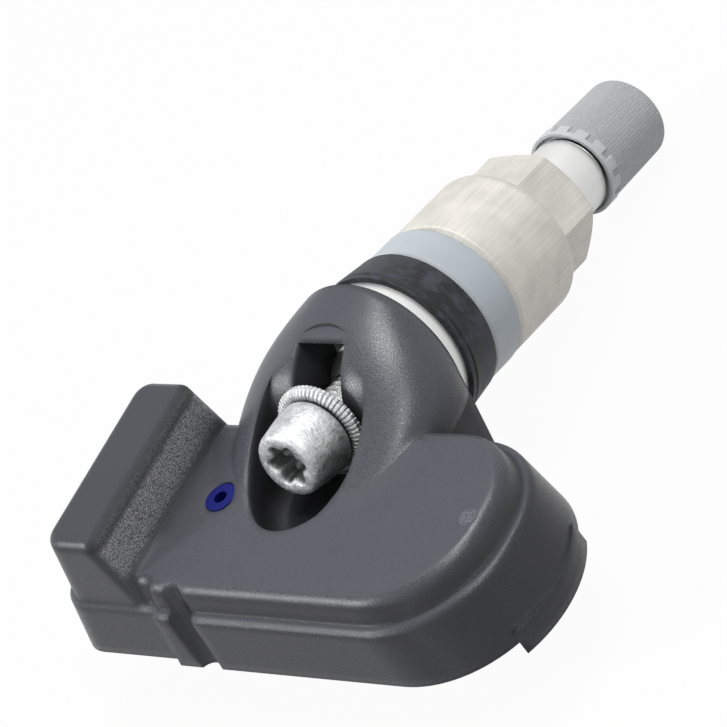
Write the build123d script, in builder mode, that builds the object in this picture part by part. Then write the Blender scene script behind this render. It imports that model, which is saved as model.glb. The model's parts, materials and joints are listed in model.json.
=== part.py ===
from build123d import *
from math import cos, radians, sin, sqrt
import os

# Clamp-in tyre pressure sensor with a metal valve that tilts in its case. Millimetres.
# Origin: centre of the grommet's sealing face, on the valve axis. X runs along the case, Y towards the
# outside of the wheel, Z up from the base. The valve axis dips below Y by valve_dip.

# Fits
socket_clearance = 0.05
running_clearance = 0.05
seat_gap = 0.04
loose_clearance = 0.1

# Valve axis, tilt centre and ball foot
valve_dip = 15.5
grommet_height = 4.7
tilt_below_flange = 3.5
ball_radius = 4.2
flange_radius = 8.3
flange_thickness = 1.6
ball_rise = 20.0
seat_wall = 4.0

# Valve stem, distances along the axis from the sealing face
seat_thread_radius = 5.0
seat_thread_end = 20.0
shaft_radius = 4.2
shaft_end = 27.0
cap_thread_radius = 3.85
stem_tip = 36.6
tip_chamfer = 0.4
air_bore_radius = 1.5
core_chamber_radius = 2.1
core_chamber_depth = 13.0
core_thread_radius = 2.65
core_thread_depth = 5.6
cross_hole_radius = 0.5
foot_thread_depth = 5.1
bore_web = 1.2

# Grommet, thrust washer and union nut
grommet_radius = 8.8
grommet_top_radius = 8.4
grommet_lip = 0.6
grommet_groove = 0.15
neck_radius = 5.65
neck_length = 3.8
washer_radius = 8.2
washer_height = 4.5
washer_chamfer = 0.6
nut_radius = 8.1
nut_round_length = 11.0
nut_length = 16.8
nut_chamfer = 0.9
nut_shoulder = 1.6
hex_across_flats = 12.0
hex_top_chamfer = 0.5

# Cap
cap_gap = 0.2
cap_length = 11.0
cap_band_radius = 4.87
cap_band_height = 1.5
cap_body_radius = 4.78
cap_top_radius = 4.62
cap_edge = 0.7
cap_top_wall = 1.1
cap_mouth_radius = 4.5
cap_mouth_depth = 0.5

# Valve core
core_top_below_tip = 0.5
core_plug_length = 4.8
barrel_radius = 1.75
barrel_length = 4.6
barrel_wall = 0.55
core_web = 1.6
core_floor = 0.8
pin_radius = 0.5
pin_below_tip = 0.3
pin_travel = 1.2
pin_collar_radius = 1.05
pin_collar_height = 0.6
pin_foot_radius = 1.4
pin_foot_height = 0.6
core_seal_radius = 1.7
core_seal_height = 0.7
gasket_height = 1.0
spring_wire = 0.3
spring_radius = 0.85
spring_turns = 5

# Clamp screw and lock washer
screw_radius = 2.5
screw_head_radius = 3.9
screw_head_height = 5.2
screw_head_land = 1.6
screw_face_radius = 3.4
screw_face_edge = 0.4
socket_core_radius = 1.55
socket_lobe_radius = 0.45
socket_lobe_offset = 1.7
socket_depth = 2.6
lock_washer_radius = 4.9
lock_washer_height = 1.3
lock_washer_bevel = 0.4

# Case, heights above the feet and places in the frame
foot_level = -7.7
case_floor_height = 1.6
ledge_height = 8.4
plateau_height = 11.35
block_height = 17.2
base_left = -27.5
base_right = 27.1
base_front = -37.1
base_rear = -13.1
left_draft = 1.9
right_draft = 2.1
side_draft = 0.6
ledge_width = 0.9
tier_draft = 0.5
front_right_radius = 12.2
rear_right_radius = 10.0
base_rear_right_radius = 11.7
left_radius = 3.5
step_x = -13.8
step_lean = 1.5
step_depth = 0.7
ledge_fillet = 0.7
plateau_fillet = 1.4
groove_x = -8.9
groove_radius = 1.5
groove_depth = 0.7

# Raised block on the case
block_right = -13.2
block_left_draft = 3.4
block_right_draft = 1.7
block_end_draft = 0.3
block_front_inset = 0.35
block_sink = 1.5
block_corner = 2.0
block_inner_corner = 1.5
block_fillet = 1.2

# Hood, screw pocket and slot
hood_rim_below_flange = 2.5
hood_rim_radius = 9.75
hood_foot_half_width = 10.4
hood_foot_depth = 9.0
hood_foot_length = 9.0
hood_foot_lap = 1.0
rim_recess_radius = 8.7
rim_recess_depth = 1.5
rim_notch_half_width = 7.0
rim_notch_top = 4.8
cowl_front = -29.3
cowl_half_width = 12.0
cowl_half_length = 18.0
cowl_height = 7.8
cowl_run = 24.3
cowl_sink = 0.6
cowl_skirt = 2.0
cowl_stations = (0.05, 0.15, 0.3, 0.45, 0.6)
skirt_sink = 0.15
skirt_stations = ((-26.5, 7.0, -0.1), (-24.0, 13.0, 0.9), (-21.5, 15.0, 1.7), (-18.4, 16.6, 2.4),
                  (-17.3, 17.0, 2.1), (-16.6, 17.0, 1.3), (-16.2, 16.8, -0.1))
pocket_y = -18.2
pocket_half_width = 6.7
pocket_half_length = 9.6
pocket_fillet = 2.0
pocket_floor_height = 6.8
slot_width = 6.0
slot_low = 2.9
slot_high = 6.85

# Foot under the right end of the case
skid_length = 1.8

# Inside the case
cover_rim = 1.5
cover_clearance = 0.1
cover_thickness = 1.2
shelf_ends = 1.1
shelf_sides = 0.9
cavity_top_height = 5.8
battery_from_end = 12.5
battery_y = -25.2
battery_radius = 8.0
battery_height = 3.2
battery_bay_clearance = 0.35
tab_thickness = 0.2
tab_width = 3.0
tab_overhang = 0.8
board_thickness = 0.8
board_clearance = 0.3
post_radius = 1.0
post_height = 0.4
post_inset = 4.0
chip_size = 5.0
chip_height = 1.6
port_x = -8.9
port_y = -24.3
port_radius = 1.65
port_bore_radius = 0.7
port_stand_out = 0.1
crystal_length = 3.2
crystal_width = 2.0
crystal_height = 1.0
crystal_x = -3.0
crystal_y = -32.0
block_bay_left = -21.5
block_bay_right = -15.8
block_bay_front = -33.5
block_bay_rear = -16.8
block_bay_height = 12.8
coil_length = 9.0
coil_core_size = 2.4
coil_cheek_size = 4.0
coil_cheek_thickness = 1.0
coil_wire_build = 0.6
antenna_thickness = 0.5
antenna_width = 3.0
antenna_span = 13.0
antenna_height = 10.4

os.makedirs("parts", exist_ok=True)

# Planes and axes
dip_cos = cos(radians(valve_dip))
dip_sin = sin(radians(valve_dip))
valve_axis = Axis((0, 0, 0), (0, dip_cos, -dip_sin))
turn_plane = Plane(origin=(0, 0, 0), x_dir=(1, 0, 0), z_dir=(0, dip_sin, dip_cos))
inner_plane = Plane(origin=(0, 0, 0), x_dir=(1, 0, 0), z_dir=(0, -dip_cos, dip_sin))
feet_plane = Plane.XY.offset(foot_level)

# Places along the valve axis, negative towards the case
flange_face = -grommet_height
tilt_place = flange_face - tilt_below_flange
ball_end = tilt_place - ball_radius
seat_radius = ball_radius + socket_clearance + seat_wall
washer_seat = tilt_place - seat_radius - seat_gap
head_seat = washer_seat - lock_washer_height
head_face = head_seat - screw_head_height
rim_place = flange_face - hood_rim_below_flange
washer_top = seat_gap + washer_height
nut_bottom = washer_top + seat_gap
nut_top = nut_bottom + nut_length
cap_bottom = shaft_end + cap_gap
cap_top = cap_bottom + cap_length
tilt_y = tilt_place * dip_cos
tilt_z = -tilt_place * dip_sin

# Valve stem: ball foot, flange, nut thread, shaft and cap thread in one turned piece
flange_underside = flange_face - flange_thickness
ball_neck_radius = ball_radius * cos(radians(ball_rise))
ball_top = tilt_place + ball_radius * sin(radians(ball_rise))
shaft_start = seat_thread_end + seat_thread_radius - shaft_radius
foot_thread_end = ball_end + foot_thread_depth
air_bore_end = foot_thread_end + bore_web
core_chamber_end = stem_tip - core_chamber_depth
with BuildPart() as valve_stem:
    with BuildSketch(turn_plane):
        with BuildLine():
            CenterArc((0, tilt_place), ball_radius, 270, 90 + ball_rise)
            Polyline((ball_neck_radius, ball_top), (flange_radius, flange_underside),
                     (flange_radius, flange_face),
                     (seat_thread_radius, flange_face), (seat_thread_radius, seat_thread_end),
                     (shaft_radius, shaft_start), (shaft_radius, shaft_end), (cap_thread_radius, shaft_end),
                     (cap_thread_radius, stem_tip - tip_chamfer), (cap_thread_radius - tip_chamfer, stem_tip),
                     (0, stem_tip), (0, ball_end))
        make_face()
    revolve(axis=valve_axis)
    with BuildSketch(turn_plane):
        with BuildLine():
            Polyline((0, air_bore_end), (air_bore_radius, air_bore_end),
                     (air_bore_radius, core_chamber_end - core_chamber_radius + air_bore_radius),
                     (core_chamber_radius, core_chamber_end),
                     (core_chamber_radius, stem_tip - core_thread_depth),
                     (core_thread_radius, stem_tip - core_thread_depth), (core_thread_radius, stem_tip),
                     (0, stem_tip), close=True)
        make_face()
        with BuildLine():
            Polyline((0, ball_end), (screw_radius + running_clearance, ball_end),
                     (screw_radius + running_clearance, foot_thread_end), (0, foot_thread_end), close=True)
        make_face()
    revolve(axis=valve_axis, mode=Mode.SUBTRACT)
    with BuildSketch(Plane(origin=(0, 0, 0), x_dir=(1, 0, 0), z_dir=(0, -dip_sin, -dip_cos))):
        with Locations((0, flange_thickness / 2 - flange_face)):
            Circle(cross_hole_radius)
    extrude(amount=flange_radius, mode=Mode.SUBTRACT)
valve_stem.part.label = "valve_stem"
export_step(valve_stem.part, "parts/valve_stem.step")

# Rim-hole grommet: tapered body with a lip, and a neck that lines the hole
with BuildPart() as rubber_grommet:
    with BuildSketch(turn_plane):
        with BuildLine():
            Polyline((seat_thread_radius + running_clearance, flange_face + seat_gap),
                     (grommet_radius, flange_face + seat_gap),
                     (grommet_radius, flange_face + grommet_lip),
                     (grommet_radius - grommet_groove, flange_face + grommet_lip + grommet_groove),
                     (grommet_radius, flange_face + grommet_lip + 2 * grommet_groove),
                     (grommet_top_radius, 0), (neck_radius, 0), (neck_radius, neck_length),
                     (seat_thread_radius + running_clearance, neck_length), close=True)
        make_face()
    revolve(axis=valve_axis)
rubber_grommet.part.label = "rubber_grommet"
export_step(rubber_grommet.part, "parts/rubber_grommet.step")

# Thrust washer round the grommet's neck
washer_bore_radius = neck_radius + loose_clearance
with BuildPart() as thrust_washer:
    with BuildSketch(turn_plane):
        with BuildLine():
            Polyline((washer_bore_radius, seat_gap), (washer_radius - washer_chamfer, seat_gap),
                     (washer_radius, seat_gap + washer_chamfer), (washer_radius, washer_top),
                     (washer_bore_radius, washer_top), close=True)
        make_face()
    revolve(axis=valve_axis)
thrust_washer.part.label = "thrust_washer"
export_step(thrust_washer.part, "parts/thrust_washer.step")

# Union nut: round skirt with a turned shoulder below a hexagon
hex_corner_radius = hex_across_flats / sqrt(3)
hex_flat_radius = hex_across_flats / 2
hex_corner_drop = hex_top_chamfer * (nut_radius - hex_flat_radius) / (hex_corner_radius - hex_flat_radius)
nut_round_top = nut_bottom + nut_round_length
with BuildPart() as union_nut:
    with BuildSketch(turn_plane):
        with BuildLine():
            Polyline((0, nut_bottom), (nut_radius - nut_chamfer, nut_bottom),
                     (nut_radius, nut_bottom + nut_chamfer), (nut_radius, nut_round_top - nut_shoulder))
            CenterArc((nut_radius - nut_shoulder, nut_round_top - nut_shoulder), nut_shoulder, 0, 90)
            Polyline((nut_radius - nut_shoulder, nut_round_top), (0, nut_round_top), (0, nut_bottom))
        make_face()
    revolve(axis=valve_axis)
    with BuildSketch(inner_plane.offset(-nut_round_top)):
        RegularPolygon(hex_corner_radius, 6)
    extrude(amount=nut_round_top - nut_top)
    with BuildSketch(turn_plane):
        with BuildLine():
            Polyline((hex_flat_radius, nut_top), (nut_radius, nut_top),
                     (nut_radius, nut_top - hex_corner_drop), close=True)
        make_face()
    revolve(axis=valve_axis, mode=Mode.SUBTRACT)
    with BuildSketch(inner_plane.offset(-nut_bottom)):
        Circle(seat_thread_radius + running_clearance)
    extrude(amount=nut_bottom - nut_top, mode=Mode.SUBTRACT)
union_nut.part.label = "union_nut"
export_step(union_nut.part, "parts/union_nut.step")

# Valve cap
cap_roof = cap_top - cap_top_wall
cap_bore_radius = cap_thread_radius + loose_clearance
with BuildPart() as valve_cap:
    with BuildSketch(turn_plane):
        with BuildLine():
            Polyline((cap_mouth_radius, cap_bottom), (cap_band_radius, cap_bottom),
                     (cap_band_radius, cap_bottom + cap_band_height),
                     (cap_body_radius, cap_bottom + cap_band_height), (cap_top_radius, cap_top - cap_edge))
            CenterArc((cap_top_radius - cap_edge, cap_top - cap_edge), cap_edge, 0, 90)
            Polyline((cap_top_radius - cap_edge, cap_top), (0, cap_top), (0, cap_roof),
                     (cap_bore_radius, cap_roof), (cap_bore_radius, cap_bottom + cap_mouth_depth),
                     (cap_mouth_radius, cap_bottom + cap_mouth_depth), (cap_mouth_radius, cap_bottom))
        make_face()
    revolve(axis=valve_axis)
valve_cap.part.label = "valve_cap"
export_step(valve_cap.part, "parts/valve_cap.step")

# Sealing disc in the roof of the cap
with BuildPart() as cap_seal:
    with BuildSketch(inner_plane.offset(-stem_tip - seat_gap)):
        Circle(cap_thread_radius)
    extrude(amount=stem_tip + 2 * seat_gap - cap_roof)
cap_seal.part.label = "cap_seal"
export_step(cap_seal.part, "parts/cap_seal.step")

# Valve core: threaded plug with a barrel that holds the spring
core_top = stem_tip - core_top_below_tip
plug_bottom = core_top - core_plug_length
barrel_bottom = plug_bottom - barrel_length
spring_room_radius = barrel_radius - barrel_wall
pin_bore_radius = pin_radius + running_clearance
plug_radius = core_thread_radius - running_clearance
with BuildPart() as core_body:
    with BuildSketch(turn_plane):
        with BuildLine():
            Polyline((pin_bore_radius, barrel_bottom), (barrel_radius, barrel_bottom),
                     (barrel_radius, plug_bottom), (plug_radius, plug_bottom), (plug_radius, core_top),
                     (pin_bore_radius, core_top), (pin_bore_radius, core_top - core_web),
                     (spring_room_radius, core_top - core_web),
                     (spring_room_radius, barrel_bottom + core_floor),
                     (pin_bore_radius, barrel_bottom + core_floor), close=True)
        make_face()
    revolve(axis=valve_axis)
core_body.part.label = "core_body"
export_step(core_body.part, "parts/core_body.step")

# Gasket under the plug of the valve core
with BuildPart() as core_gasket:
    with BuildSketch(turn_plane):
        with BuildLine():
            Polyline((barrel_radius + seat_gap, plug_bottom - seat_gap),
                     (core_chamber_radius - seat_gap, plug_bottom - seat_gap),
                     (barrel_radius + 2 * seat_gap, plug_bottom - gasket_height),
                     (barrel_radius + seat_gap, plug_bottom - gasket_height), close=True)
        make_face()
    revolve(axis=valve_axis)
core_gasket.part.label = "core_gasket"
export_step(core_gasket.part, "parts/core_gasket.step")

# Pin of the valve core with its spring collar and its foot
seal_top = barrel_bottom - seat_gap
foot_top = seal_top - core_seal_height - seat_gap
collar_top = core_top - core_web - running_clearance
pin_top = stem_tip - pin_below_tip
with BuildPart() as core_pin:
    with BuildSketch(turn_plane):
        with BuildLine():
            Polyline((0, foot_top - pin_foot_height), (pin_foot_radius, foot_top - pin_foot_height),
                     (pin_foot_radius, foot_top), (pin_radius, foot_top),
                     (pin_radius, collar_top - pin_collar_height),
                     (pin_collar_radius, collar_top - pin_collar_height), (pin_collar_radius, collar_top),
                     (pin_radius, collar_top), (pin_radius, pin_top), (0, pin_top), close=True)
        make_face()
    revolve(axis=valve_axis)
core_pin.part.label = "core_pin"
export_step(core_pin.part, "parts/core_pin.step")

# Seal on the foot of the pin
seal_bore_radius = pin_radius + seat_gap
with BuildPart() as core_seal:
    with BuildSketch(turn_plane):
        with Locations(((core_seal_radius + seal_bore_radius) / 2, seal_top - core_seal_height / 2)):
            Rectangle(core_seal_radius - seal_bore_radius, core_seal_height)
    revolve(axis=valve_axis)
core_seal.part.label = "core_seal"
export_step(core_seal.part, "parts/core_seal.step")

# Spring of the valve core, drawn at its pressed length
spring_bottom = barrel_bottom + core_floor + spring_wire / 2 + seat_gap
spring_top = collar_top - pin_collar_height - pin_travel - spring_wire / 2 - seat_gap
spring_length = spring_top - spring_bottom
with BuildPart() as core_spring:
    with BuildLine() as spring_path:
        Helix(spring_length / spring_turns, spring_length, spring_radius, direction=valve_axis.direction,
              center=valve_axis.direction * spring_bottom)
    with BuildSketch(Plane(origin=spring_path.line @ 0, z_dir=spring_path.line % 0)):
        Circle(spring_wire / 2)
    sweep()
core_spring.part.label = "core_spring"
export_step(core_spring.part, "parts/core_spring.step")

# Clamp screw with a six-lobe socket
screw_end = foot_thread_end - bore_web / 2
with BuildPart() as fixing_screw:
    with BuildSketch(turn_plane):
        with BuildLine():
            Polyline((0, screw_end), (screw_radius, screw_end), (screw_radius, head_seat),
                     (screw_head_radius, head_seat), (screw_head_radius, head_seat - screw_head_land),
                     (screw_face_radius, head_face + screw_face_edge),
                     (screw_face_radius - screw_face_edge, head_face), (0, head_face), close=True)
        make_face()
    revolve(axis=valve_axis)
    with BuildSketch(inner_plane.offset(-head_face)):
        Circle(socket_core_radius)
        with PolarLocations(socket_lobe_offset, 6):
            Circle(socket_lobe_radius)
    extrude(amount=-socket_depth, mode=Mode.SUBTRACT)
fixing_screw.part.label = "fixing_screw"
export_step(fixing_screw.part, "parts/fixing_screw.step")

# Lock washer under the screw head
lock_bore_radius = screw_radius + running_clearance
lock_top = head_seat + seat_gap
lock_edge_radius = lock_washer_radius - lock_washer_bevel
with BuildPart() as lock_washer:
    with BuildSketch(turn_plane):
        with BuildLine():
            Polyline((lock_bore_radius, washer_seat), (lock_edge_radius, washer_seat),
                     (lock_washer_radius, washer_seat - lock_washer_bevel),
                     (lock_washer_radius, lock_top + lock_washer_bevel), (lock_edge_radius, lock_top),
                     (lock_bore_radius, lock_top), close=True)
        make_face()
    revolve(axis=valve_axis)
lock_washer.part.label = "lock_washer"
export_step(lock_washer.part, "parts/lock_washer.step")


def inset(box, ends, sides):
    """Box of left, right, front and rear, drawn in at its ends and its sides."""
    left, right, front, rear = box
    return left + ends, right - ends, front + sides, rear - sides


def case_outline(height, box, rear_radius=rear_right_radius):
    """Outline of the case at a height above the feet; left of the step its front is set back."""
    left, right, front, rear = box
    drawn_in = front - base_front
    step = step_x + step_lean * (height - case_floor_height) / (plateau_height - case_floor_height)
    with BuildSketch(feet_plane.offset(height)) as face:
        with BuildLine():
            Polyline((left, front + step_depth), (step, front + step_depth), (step + step_depth, front),
                     (right, front), (right, rear), (left, rear), close=True)
        make_face()
        fillet(face.vertices().group_by(Axis.X)[0], left_radius)
        fillet(face.vertices().group_by(Axis.X)[-1].sort_by(Axis.Y)[-1], rear_radius - drawn_in)
        fillet(face.vertices().group_by(Axis.X)[-1].sort_by(Axis.Y)[0], front_right_radius - drawn_in)
    return face.sketch


def block_outline(height, box):
    """Outline of the raised block, rounder on its free side."""
    left, right, front, rear = box
    with BuildSketch(feet_plane.offset(height)) as face:
        with BuildLine():
            Polyline((left, front), (right, front), (right, rear), (left, rear), close=True)
        make_face()
        fillet(face.vertices().group_by(Axis.X)[0], block_corner)
        fillet(face.vertices().group_by(Axis.X)[-1], block_inner_corner)
    return face.sketch


def arch(plane, centre, half_width, height, skirt):
    """Half-ellipse arch on a plane, with its sides carried down by a skirt."""
    with BuildSketch(plane) as face:
        with BuildLine():
            EllipticalCenterArc((0, centre), half_width, height, 0, arc_size=180)
            Polyline((-half_width, centre), (-half_width, centre - skirt), (half_width, centre - skirt),
                     (half_width, centre))
        make_face()
    return face.sketch


def cowl_section(place):
    """Arch of the cowl round the screw pocket; place is 0 at its front and 1 at the hood's rim."""
    ahead = 1 - cowl_run * place / cowl_half_length
    half_width = cowl_half_width * sqrt(1 - ahead**2)
    rise = place**2 * (3 - 2 * place)
    height = cowl_sink / 2 + (cowl_height + cowl_sink / 2) * rise
    plane = Plane.XZ.offset(-cowl_front - cowl_run * place)
    return arch(plane, plateau - cowl_sink, half_width, height, cowl_skirt)


def skirt_section(y, half_width, height):
    """Low mound under the cowl whose flanks run out level into the plateau."""
    with BuildSketch(Plane.XZ.offset(-y)) as section:
        with BuildLine():
            mound = Spline((-half_width, plateau - skirt_sink), (0, plateau + height),
                           (half_width, plateau - skirt_sink), tangents=((1, 0), (1, 0)))
            Polyline(mound @ 1, (half_width, plateau - cowl_skirt),
                     (-half_width, plateau - cowl_skirt), mound @ 0)
        make_face()
    return section.sketch


# Outlines of the case from the floor up
plateau = foot_level + plateau_height
base_box = (base_left, base_right, base_front, base_rear)
ledge_box = (base_left + left_draft, base_right - right_draft,
             base_front + side_draft, base_rear - side_draft)
shoulder_box = inset(ledge_box, ledge_width, ledge_width)
plateau_box = inset(shoulder_box, tier_draft, tier_draft)
block_foot_front = ledge_box[2] + step_depth + block_front_inset
block_foot_box = (shoulder_box[0], block_right, block_foot_front, shoulder_box[3])
block_top_box = (block_foot_box[0] + block_left_draft, block_right - block_right_draft,
                 block_foot_box[2] + block_end_draft, block_foot_box[3] - block_end_draft)

# Openings inside the case
skid_x = base_right - skid_length
battery_x = base_right - battery_from_end
cover_box = (base_left + cover_rim, skid_x - cover_rim, base_front + cover_rim, base_rear - cover_rim)
cavity_box = inset(cover_box, shelf_ends, shelf_sides)
cover_top_height = case_floor_height + cover_thickness
board_height = cover_top_height + post_height + seat_gap
board_top_height = board_height + board_thickness
part_height = board_top_height + seat_gap
cell_height = part_height + tab_thickness + seat_gap
upper_tab_height = cell_height + battery_height + seat_gap
battery_bay_height = upper_tab_height + tab_thickness + battery_bay_clearance
tab_end = battery_radius + tab_overhang
block_bay_x = (block_bay_left + block_bay_right) / 2
block_bay_y = (block_bay_front + block_bay_rear) / 2

# Screw pocket: drawn up from its floor, with its back on the round of the tilt axis
pocket_floor = foot_level + pocket_floor_height
pocket_reach = 2 * pocket_half_length
with BuildPart() as pocket_tool:
    with BuildSketch(Plane.XY.offset(pocket_floor)):
        with Locations((0, pocket_y)):
            Ellipse(pocket_half_width, pocket_half_length)
    extrude(amount=pocket_reach)
    fillet(pocket_tool.faces().sort_by(Axis.Z)[0].edges(), pocket_fillet)
    with BuildSketch(Plane.YZ):
        with Locations((tilt_y, tilt_z)):
            Circle(seat_radius)
        with Locations((tilt_y + pocket_reach, tilt_z)):
            Rectangle(2 * pocket_reach, 4 * pocket_reach)
    extrude(amount=pocket_reach, both=True, mode=Mode.SUBTRACT)

# Case
groove_out = groove_radius - groove_depth
with BuildPart() as sensor_housing:
    loft([case_outline(case_floor_height, base_box, base_rear_right_radius),
          case_outline(ledge_height, ledge_box)], ruled=True)
    fillet(sensor_housing.faces().sort_by(Axis.Z)[-1].edges(), ledge_fillet)
    loft([case_outline(ledge_height, shoulder_box), case_outline(plateau_height, plateau_box)], ruled=True)
    fillet(sensor_housing.faces().sort_by(Axis.Z)[-1].edges(), plateau_fillet)
    loft([block_outline(ledge_height - block_sink, block_foot_box),
          block_outline(block_height, block_top_box)], ruled=True)
    fillet(sensor_housing.faces().sort_by(Axis.Z)[-1].edges(), block_fillet)
    loft([skirt_section(*station) for station in skirt_stations], ruled=True)
    loft([cowl_section(place) for place in cowl_stations]
         + [arch(inner_plane.offset(-rim_place), 0, hood_rim_radius, hood_rim_radius, cowl_skirt)])
    with BuildSketch(inner_plane.offset(-rim_place)):
        with BuildLine():
            Polyline((-hood_rim_radius, 0), (hood_foot_lap - hood_rim_radius, hood_foot_lap),
                     (hood_rim_radius - hood_foot_lap, hood_foot_lap), (hood_rim_radius, 0),
                     (hood_foot_half_width, -hood_foot_depth),
                     (-hood_foot_half_width, -hood_foot_depth), close=True)
        make_face()
    extrude(amount=hood_foot_length)
    with BuildSketch(feet_plane.offset(case_floor_height)):
        Rectangle(4 * base_right, -4 * base_front)
    extrude(amount=-hood_rim_radius, mode=Mode.SUBTRACT)
    with BuildSketch(feet_plane):
        add(case_outline(0, base_box, base_rear_right_radius))
        with Locations((skid_x + base_right / 2, battery_y)):
            Rectangle(base_right, -base_front, mode=Mode.INTERSECT)
    extrude(amount=cover_top_height)
    with BuildSketch(feet_plane.offset(case_floor_height)):
        with Locations((groove_x, base_front - groove_out)):
            Circle(groove_radius)
    with BuildSketch(feet_plane.offset(plateau_height)):
        with Locations((groove_x, plateau_box[2] - groove_out)):
            Circle(groove_radius)
    loft(mode=Mode.SUBTRACT)
    add(pocket_tool.part, mode=Mode.SUBTRACT)
    with Locations((0, tilt_y, tilt_z)):
        Sphere(ball_radius + socket_clearance, mode=Mode.SUBTRACT)
    with BuildSketch(inner_plane.offset(-rim_place)):
        Circle(rim_recess_radius)
        with Locations((0, -rim_notch_top - hood_rim_radius / 2)):
            Rectangle(2 * rim_notch_half_width, hood_rim_radius)
    extrude(amount=rim_recess_depth, mode=Mode.SUBTRACT)
    with BuildSketch(inner_plane.offset(-tilt_place)):
        with Locations((0, (slot_high - slot_low) / 2)):
            Rectangle(slot_width, slot_high + slot_low)
    extrude(amount=seat_radius, mode=Mode.SUBTRACT)
    with BuildSketch(feet_plane.offset(case_floor_height)):
        add(case_outline(case_floor_height, cover_box))
    extrude(amount=cover_thickness, mode=Mode.SUBTRACT)
    with BuildSketch(feet_plane.offset(case_floor_height)):
        add(case_outline(case_floor_height, cavity_box))
    extrude(amount=cavity_top_height - case_floor_height, mode=Mode.SUBTRACT)
    with BuildSketch(feet_plane.offset(cover_top_height)):
        with Locations((battery_x, battery_y)):
            Circle(battery_radius + battery_bay_clearance)
        with Locations((battery_x, battery_y - tab_end / 2)):
            Rectangle(tab_width + 2 * battery_bay_clearance, tab_end + 2 * battery_bay_clearance)
    extrude(amount=battery_bay_height - cover_top_height, mode=Mode.SUBTRACT)
    with BuildSketch(feet_plane.offset(cover_top_height)):
        with Locations((block_bay_x, block_bay_y)):
            Rectangle(block_bay_right - block_bay_left, block_bay_rear - block_bay_front)
    extrude(amount=block_bay_height - cover_top_height, mode=Mode.SUBTRACT)
    with BuildSketch(feet_plane.offset(cover_top_height)):
        with Locations((port_x, port_y)):
            Circle(port_radius + running_clearance)
    extrude(amount=plateau_height, mode=Mode.SUBTRACT)
sensor_housing.part.label = "sensor_housing"
export_step(sensor_housing.part, "parts/sensor_housing.step")

# Base cover with posts for the board
board_box = inset(cavity_box, board_clearance, board_clearance)
post_box = inset(board_box, post_inset, post_inset)
with BuildPart() as base_cover:
    with BuildSketch(feet_plane.offset(case_floor_height)):
        add(case_outline(case_floor_height, inset(cover_box, cover_clearance, cover_clearance)))
    extrude(amount=cover_thickness - seat_gap)
    with BuildSketch(feet_plane.offset(cover_top_height - seat_gap)):
        with Locations((post_box[0], post_box[2]), (post_box[1], post_box[2]), (post_box[0], post_box[3]),
                       (post_box[1], post_box[3])):
            Circle(post_radius)
    extrude(amount=post_height + seat_gap)
base_cover.part.label = "base_cover"
export_step(base_cover.part, "parts/base_cover.step")

# Circuit board
with BuildPart() as circuit_board:
    with BuildSketch(feet_plane.offset(board_height)):
        add(case_outline(board_height, board_box))
    extrude(amount=board_thickness)
circuit_board.part.label = "circuit_board"
export_step(circuit_board.part, "parts/circuit_board.step")

# Pressure and temperature chip under the port
with BuildPart() as sensor_chip:
    with BuildSketch(feet_plane.offset(part_height)):
        with Locations((port_x, port_y)):
            Rectangle(chip_size, chip_size)
    extrude(amount=chip_height)
sensor_chip.part.label = "sensor_chip"
export_step(sensor_chip.part, "parts/sensor_chip.step")

# Port seal: a soft tube from the chip up through the top of the case
port_foot_height = part_height + chip_height + seat_gap
with BuildPart() as port_seal:
    with BuildSketch(feet_plane.offset(port_foot_height)):
        with Locations((port_x, port_y)):
            Circle(port_radius)
            Circle(port_bore_radius, mode=Mode.SUBTRACT)
    extrude(amount=plateau_height + port_stand_out - port_foot_height)
port_seal.part.label = "port_seal"
export_step(port_seal.part, "parts/port_seal.step")

# Crystal that sets the radio frequency
with BuildPart() as crystal:
    with BuildSketch(feet_plane.offset(part_height)):
        with Locations((crystal_x, crystal_y)):
            Rectangle(crystal_length, crystal_width)
    extrude(amount=crystal_height)
crystal.part.label = "crystal"
export_step(crystal.part, "parts/crystal.step")

# Wake-up coil: a ferrite core with two cheeks, and its winding
coil_middle_height = part_height + coil_cheek_size / 2
coil_plane = Plane.XZ.offset(-block_bay_y)
coil_z = foot_level + coil_middle_height
with BuildPart() as coil_core:
    with BuildSketch(coil_plane):
        with Locations((block_bay_x, coil_z)):
            Rectangle(coil_cheek_size, coil_cheek_size)
    extrude(amount=coil_length / 2, both=True)
    with BuildSketch(coil_plane):
        with Locations((block_bay_x, coil_z)):
            Rectangle(coil_cheek_size, coil_cheek_size)
            Rectangle(coil_core_size, coil_core_size, mode=Mode.SUBTRACT)
    extrude(amount=coil_length / 2 - coil_cheek_thickness, both=True, mode=Mode.SUBTRACT)
coil_core.part.label = "coil_core"
export_step(coil_core.part, "parts/coil_core.step")

winding_inside = coil_core_size + 2 * seat_gap
winding_outside = winding_inside + 2 * coil_wire_build
with BuildPart() as coil_winding:
    with BuildSketch(coil_plane):
        with Locations((block_bay_x, coil_z)):
            Rectangle(winding_outside, winding_outside)
            Rectangle(winding_inside, winding_inside, mode=Mode.SUBTRACT)
    extrude(amount=coil_length / 2 - coil_cheek_thickness - seat_gap, both=True)
coil_winding.part.label = "coil_winding"
export_step(coil_winding.part, "parts/coil_winding.step")

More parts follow.
